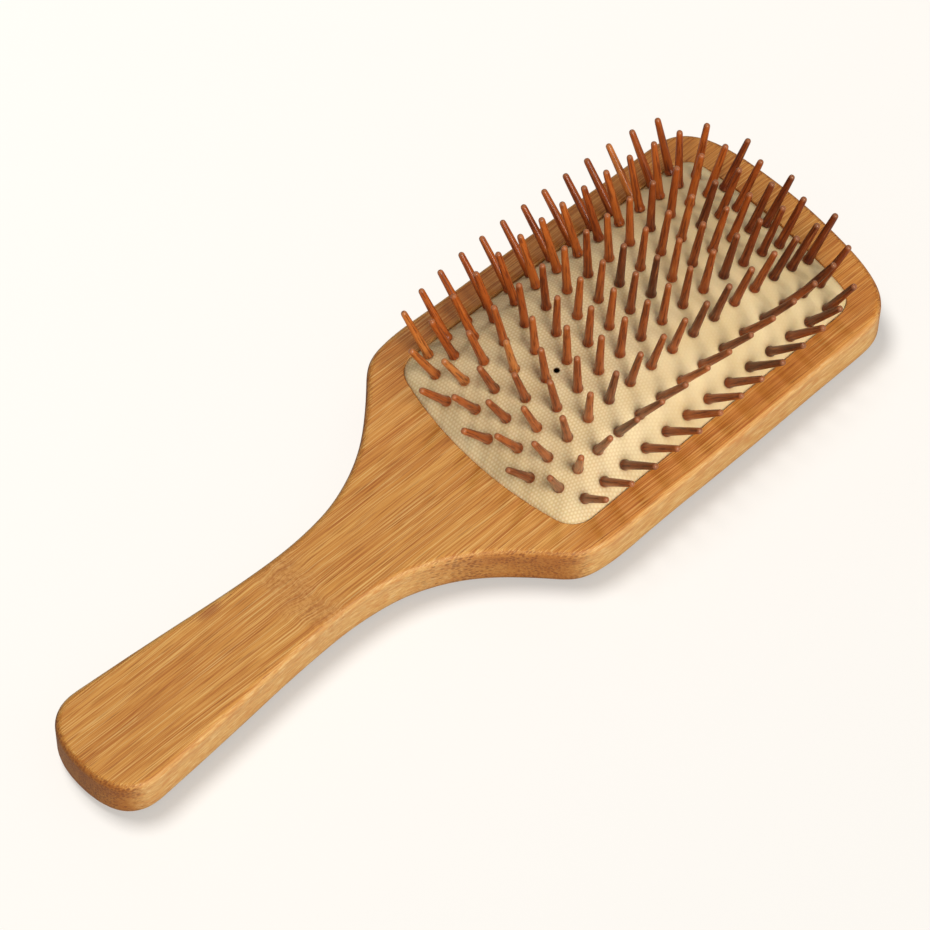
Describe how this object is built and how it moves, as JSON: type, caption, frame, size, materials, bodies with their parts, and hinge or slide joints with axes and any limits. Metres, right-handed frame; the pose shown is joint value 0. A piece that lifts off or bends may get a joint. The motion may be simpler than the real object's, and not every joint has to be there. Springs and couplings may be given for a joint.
{
  "type": "paddle hair brush",
  "caption": "Flat laminated bamboo paddle brush with a domed air-cushion rubber pad and round-tipped turned wooden pins that rock and sink under pressure.",
  "frame": {"origin": "on the flat back face, below the middle of the pad seat", "axes": "+X along the handle towards the head end, +Y to the left edge, +Z out of the pin side"},
  "size_m": [0.2495, 0.0834, 0.0424],
  "materials": {
    "bamboo": "satin oiled bamboo, fine straight grain along the handle",
    "cushion_rubber": "cream natural rubber with a fine woven embossing",
    "pin_wood": "glossy varnished reddish-brown turned wood"
  },
  "bodies": {
    "paddle": {"top_strip_handle": "bamboo", "top_strip_head": "bamboo", "top_strip_left": "bamboo", "top_strip_right": "bamboo", "core_strip_left": "bamboo", "core_strip_right": "bamboo", "core_strip_outer_left": "bamboo", "core_strip_outer_right": "bamboo", "back_strip_middle": "bamboo", "back_strip_left": "bamboo", "back_strip_right": "bamboo"},
    "air_cushion": {"cushion_pad": "cushion_rubber"},
    "pins_row_1_handle_end": {"pins_row_1_handle_end": "pin_wood"},
    "pins_row_1_middle": {"pins_row_1_middle": "pin_wood"},
    "pins_row_1_head_end": {"pins_row_1_head_end": "pin_wood"},
    "pins_row_2_handle_end": {"pins_row_2_handle_end": "pin_wood"},
    "pins_row_2_middle": {"pins_row_2_middle": "pin_wood"},
    "pins_row_2_head_end": {"pins_row_2_head_end": "pin_wood"},
    "pins_row_3_handle_end": {"pins_row_3_handle_end": "pin_wood"},
    "pins_row_3_middle": {"pins_row_3_middle": "pin_wood"},
    "pins_row_3_head_end": {"pins_row_3_head_end": "pin_wood"},
    "pins_row_4_handle_end": {"pins_row_4_handle_end": "pin_wood"},
    "pins_row_4_middle": {"pins_row_4_middle": "pin_wood"},
    "pins_row_4_head_end": {"pins_row_4_head_end": "pin_wood"},
    "pins_row_5_handle_end": {"pins_row_5_handle_end": "pin_wood"},
    "pins_row_5_middle": {"pins_row_5_middle": "pin_wood"},
    "pins_row_5_head_end": {"pins_row_5_head_end": "pin_wood"},
    "pins_row_6_handle_end": {"pins_row_6_handle_end": "pin_wood"},
    "pins_row_6_middle": {"pins_row_6_middle": "pin_wood"},
    "pins_row_6_head_end": {"pins_row_6_head_end": "pin_wood"},
    "pins_row_7_handle_end": {"pins_row_7_handle_end": "pin_wood"},
    "pins_row_7_middle": {"pins_row_7_middle": "pin_wood"},
    "pins_row_7_head_end": {"pins_row_7_head_end": "pin_wood"},
    "pins_row_8_handle_end": {"pins_row_8_handle_end": "pin_wood"},
    "pins_row_8_middle": {"pins_row_8_middle": "pin_wood"},
    "pins_row_8_head_end": {"pins_row_8_head_end": "pin_wood"},
    "pins_row_9_handle_end": {"pins_row_9_handle_end": "pin_wood"},
    "pins_row_9_middle": {"pins_row_9_middle": "pin_wood"},
    "pins_row_9_head_end": {"pins_row_9_head_end": "pin_wood"}
  },
  "joints": [
    {"name": "cushion_press", "type": "slide", "parent": "paddle", "child": "air_cushion", "axis": [0, 0, -1], "range_m": [0, 0.003], "stiffness_N_per_m": 1500, "deforming": ["cushion_pad"]},
    {"name": "row_1_rock_handle_end", "type": "hinge", "parent": "air_cushion", "child": "pins_row_1_handle_end", "pos_m": [-0.0285, -0.029, 0.01641], "axis": [0.9984, 0, 0.0567], "range_deg": [-10, 10], "stiffness_Nm_per_rad": 0.04},
    {"name": "row_1_rock_middle", "type": "hinge", "parent": "air_cushion", "child": "pins_row_1_middle", "pos_m": [0.0006, -0.029, 0.01677], "axis": [0.9998, 0, -0.018], "range_deg": [-10, 10], "stiffness_Nm_per_rad": 0.04},
    {"name": "row_1_rock_head_end", "type": "hinge", "parent": "air_cushion", "child": "pins_row_1_head_end", "pos_m": [0.0297, -0.029, 0.01564], "axis": [0.9978, 0, -0.0664], "range_deg": [-10, 10], "stiffness_Nm_per_rad": 0.04},
    {"name": "row_2_rock_handle_end", "type": "hinge", "parent": "air_cushion", "child": "pins_row_2_handle_end", "pos_m": [-0.03197, -0.0229, 0.01959], "axis": [0.9834, 0, 0.1812], "range_deg": [-10, 10], "stiffness_Nm_per_rad": 0.04},
    {"name": "row_2_rock_middle", "type": "hinge", "parent": "air_cushion", "child": "pins_row_2_middle", "pos_m": [0.0006, -0.0229, 0.02177], "axis": [1, 0, -0.007], "range_deg": [-10, 10], "stiffness_Nm_per_rad": 0.04},
    {"name": "row_2_rock_head_end", "type": "hinge", "parent": "air_cushion", "child": "pins_row_2_head_end", "pos_m": [0.03317, -0.0229, 0.01929], "axis": [0.9835, 0, -0.1812], "range_deg": [-10, 10], "stiffness_Nm_per_rad": 0.04},
    {"name": "row_3_rock_handle_end", "type": "hinge", "parent": "air_cushion", "child": "pins_row_3_handle_end", "pos_m": [-0.03536, -0.0155, 0.02039], "axis": [0.96, 0, 0.2801], "range_deg": [-10, 10], "stiffness_Nm_per_rad": 0.04},
    {"name": "row_3_rock_middle", "type": "hinge", "parent": "air_cushion", "child": "pins_row_3_middle", "pos_m": [0.0006, -0.0155, 0.02425], "axis": [1, 0, -0.0015], "range_deg": [-10, 10], "stiffness_Nm_per_rad": 0.04},
    {"name": "row_3_rock_head_end", "type": "hinge", "parent": "air_cushion", "child": "pins_row_3_head_end", "pos_m": [0.03656, -0.0155, 0.02033], "axis": [0.9602, 0, -0.2792], "range_deg": [-10, 10], "stiffness_Nm_per_rad": 0.04},
    {"name": "row_4_rock_handle_end", "type": "hinge", "parent": "air_cushion", "child": "pins_row_4_handle_end", "pos_m": [-0.03197, -0.00785, 0.02174], "axis": [0.9698, 0, 0.2439], "range_deg": [-10, 10], "stiffness_Nm_per_rad": 0.04},
    {"name": "row_4_rock_middle", "type": "hinge", "parent": "air_cushion", "child": "pins_row_4_middle", "pos_m": [0.0006, -0.00785, 0.02492], "axis": [1, 0, -0.0001], "range_deg": [-10, 10], "stiffness_Nm_per_rad": 0.04},
    {"name": "row_4_rock_head_end", "type": "hinge", "parent": "air_cushion", "child": "pins_row_4_head_end", "pos_m": [0.03317, -0.00785, 0.02173], "axis": [0.9698, 0, -0.2439], "range_deg": [-10, 10], "stiffness_Nm_per_rad": 0.04},
    {"name": "row_5_rock_handle_end", "type": "hinge", "parent": "air_cushion", "child": "pins_row_5_handle_end", "pos_m": [-0.03536, 0, 0.0208], "axis": [0.9555, 0, 0.2951], "range_deg": [-10, 10], "stiffness_Nm_per_rad": 0.04},
    {"name": "row_5_rock_middle", "type": "hinge", "parent": "air_cushion", "child": "pins_row_5_middle", "pos_m": [0.0006, 0, 0.02491], "axis": [1, 0, 0], "range_deg": [-10, 10], "stiffness_Nm_per_rad": 0.04},
    {"name": "row_5_rock_head_end", "type": "hinge", "parent": "air_cushion", "child": "pins_row_5_head_end", "pos_m": [0.03656, 0, 0.0208], "axis": [0.9555, 0, -0.2951], "range_deg": [-10, 10], "stiffness_Nm_per_rad": 0.04},
    {"name": "row_6_rock_handle_end", "type": "hinge", "parent": "air_cushion", "child": "pins_row_6_handle_end", "pos_m": [-0.03197, 0.00785, 0.02174], "axis": [0.9698, 0, 0.2439], "range_deg": [-10, 10], "stiffness_Nm_per_rad": 0.04},
    {"name": "row_6_rock_middle", "type": "hinge", "parent": "air_cushion", "child": "pins_row_6_middle", "pos_m": [0.0006, 0.00785, 0.02492], "axis": [1, 0, -0.0001], "range_deg": [-10, 10], "stiffness_Nm_per_rad": 0.04},
    {"name": "row_6_rock_head_end", "type": "hinge", "parent": "air_cushion", "child": "pins_row_6_head_end", "pos_m": [0.03317, 0.00785, 0.02173], "axis": [0.9698, 0, -0.2439], "range_deg": [-10, 10], "stiffness_Nm_per_rad": 0.04},
    {"name": "row_7_rock_handle_end", "type": "hinge", "parent": "air_cushion", "child": "pins_row_7_handle_end", "pos_m": [-0.03536, 0.0155, 0.02039], "axis": [0.96, 0, 0.2801], "range_deg": [-10, 10], "stiffness_Nm_per_rad": 0.04},
    {"name": "row_7_rock_middle", "type": "hinge", "parent": "air_cushion", "child": "pins_row_7_middle", "pos_m": [0.0006, 0.0155, 0.02425], "axis": [1, 0, -0.0015], "range_deg": [-10, 10], "stiffness_Nm_per_rad": 0.04},
    {"name": "row_7_rock_head_end", "type": "hinge", "parent": "air_cushion", "child": "pins_row_7_head_end", "pos_m": [0.03656, 0.0155, 0.02033], "axis": [0.9602, 0, -0.2792], "range_deg": [-10, 10], "stiffness_Nm_per_rad": 0.04},
    {"name": "row_8_rock_handle_end", "type": "hinge", "parent": "air_cushion", "child": "pins_row_8_handle_end", "pos_m": [-0.03197, 0.0229, 0.01959], "axis": [0.9834, 0, 0.1812], "range_deg": [-10, 10], "stiffness_Nm_per_rad": 0.04},
    {"name": "row_8_rock_middle", "type": "hinge", "parent": "air_cushion", "child": "pins_row_8_middle", "pos_m": [0.0006, 0.0229, 0.02177], "axis": [1, 0, -0.007], "range_deg": [-10, 10], "stiffness_Nm_per_rad": 0.04},
    {"name": "row_8_rock_head_end", "type": "hinge", "parent": "air_cushion", "child": "pins_row_8_head_end", "pos_m": [0.03317, 0.0229, 0.01929], "axis": [0.9835, 0, -0.1812], "range_deg": [-10, 10], "stiffness_Nm_per_rad": 0.04},
    {"name": "row_9_rock_handle_end", "type": "hinge", "parent": "air_cushion", "child": "pins_row_9_handle_end", "pos_m": [-0.0285, 0.029, 0.01641], "axis": [0.9984, 0, 0.0567], "range_deg": [-10, 10], "stiffness_Nm_per_rad": 0.04},
    {"name": "row_9_rock_middle", "type": "hinge", "parent": "air_cushion", "child": "pins_row_9_middle", "pos_m": [0.0006, 0.029, 0.01677], "axis": [0.9998, 0, -0.018], "range_deg": [-10, 10], "stiffness_Nm_per_rad": 0.04},
    {"name": "row_9_rock_head_end", "type": "hinge", "parent": "air_cushion", "child": "pins_row_9_head_end", "pos_m": [0.0297, 0.029, 0.01564], "axis": [0.9978, 0, -0.0664], "range_deg": [-10, 10], "stiffness_Nm_per_rad": 0.04}
  ],
  "couplings": [
    {"joint": "row_1_rock_handle_end", "follows": "row_1_rock_middle", "ratio": 1},
    {"joint": "row_1_rock_head_end", "follows": "row_1_rock_middle", "ratio": 1},
    {"joint": "row_2_rock_handle_end", "follows": "row_2_rock_middle", "ratio": 1},
    {"joint": "row_2_rock_head_end", "follows": "row_2_rock_middle", "ratio": 1},
    {"joint": "row_3_rock_handle_end", "follows": "row_3_rock_middle", "ratio": 1},
    {"joint": "row_3_rock_head_end", "follows": "row_3_rock_middle", "ratio": 1},
    {"joint": "row_4_rock_handle_end", "follows": "row_4_rock_middle", "ratio": 1},
    {"joint": "row_4_rock_head_end", "follows": "row_4_rock_middle", "ratio": 1},
    {"joint": "row_5_rock_handle_end", "follows": "row_5_rock_middle", "ratio": 1},
    {"joint": "row_5_rock_head_end", "follows": "row_5_rock_middle", "ratio": 1},
    {"joint": "row_6_rock_handle_end", "follows": "row_6_rock_middle", "ratio": 1},
    {"joint": "row_6_rock_head_end", "follows": "row_6_rock_middle", "ratio": 1},
    {"joint": "row_7_rock_handle_end", "follows": "row_7_rock_middle", "ratio": 1},
    {"joint": "row_7_rock_head_end", "follows": "row_7_rock_middle", "ratio": 1},
    {"joint": "row_8_rock_handle_end", "follows": "row_8_rock_middle", "ratio": 1},
    {"joint": "row_8_rock_head_end", "follows": "row_8_rock_middle", "ratio": 1},
    {"joint": "row_9_rock_handle_end", "follows": "row_9_rock_middle", "ratio": 1},
    {"joint": "row_9_rock_head_end", "follows": "row_9_rock_middle", "ratio": 1}
  ]
}
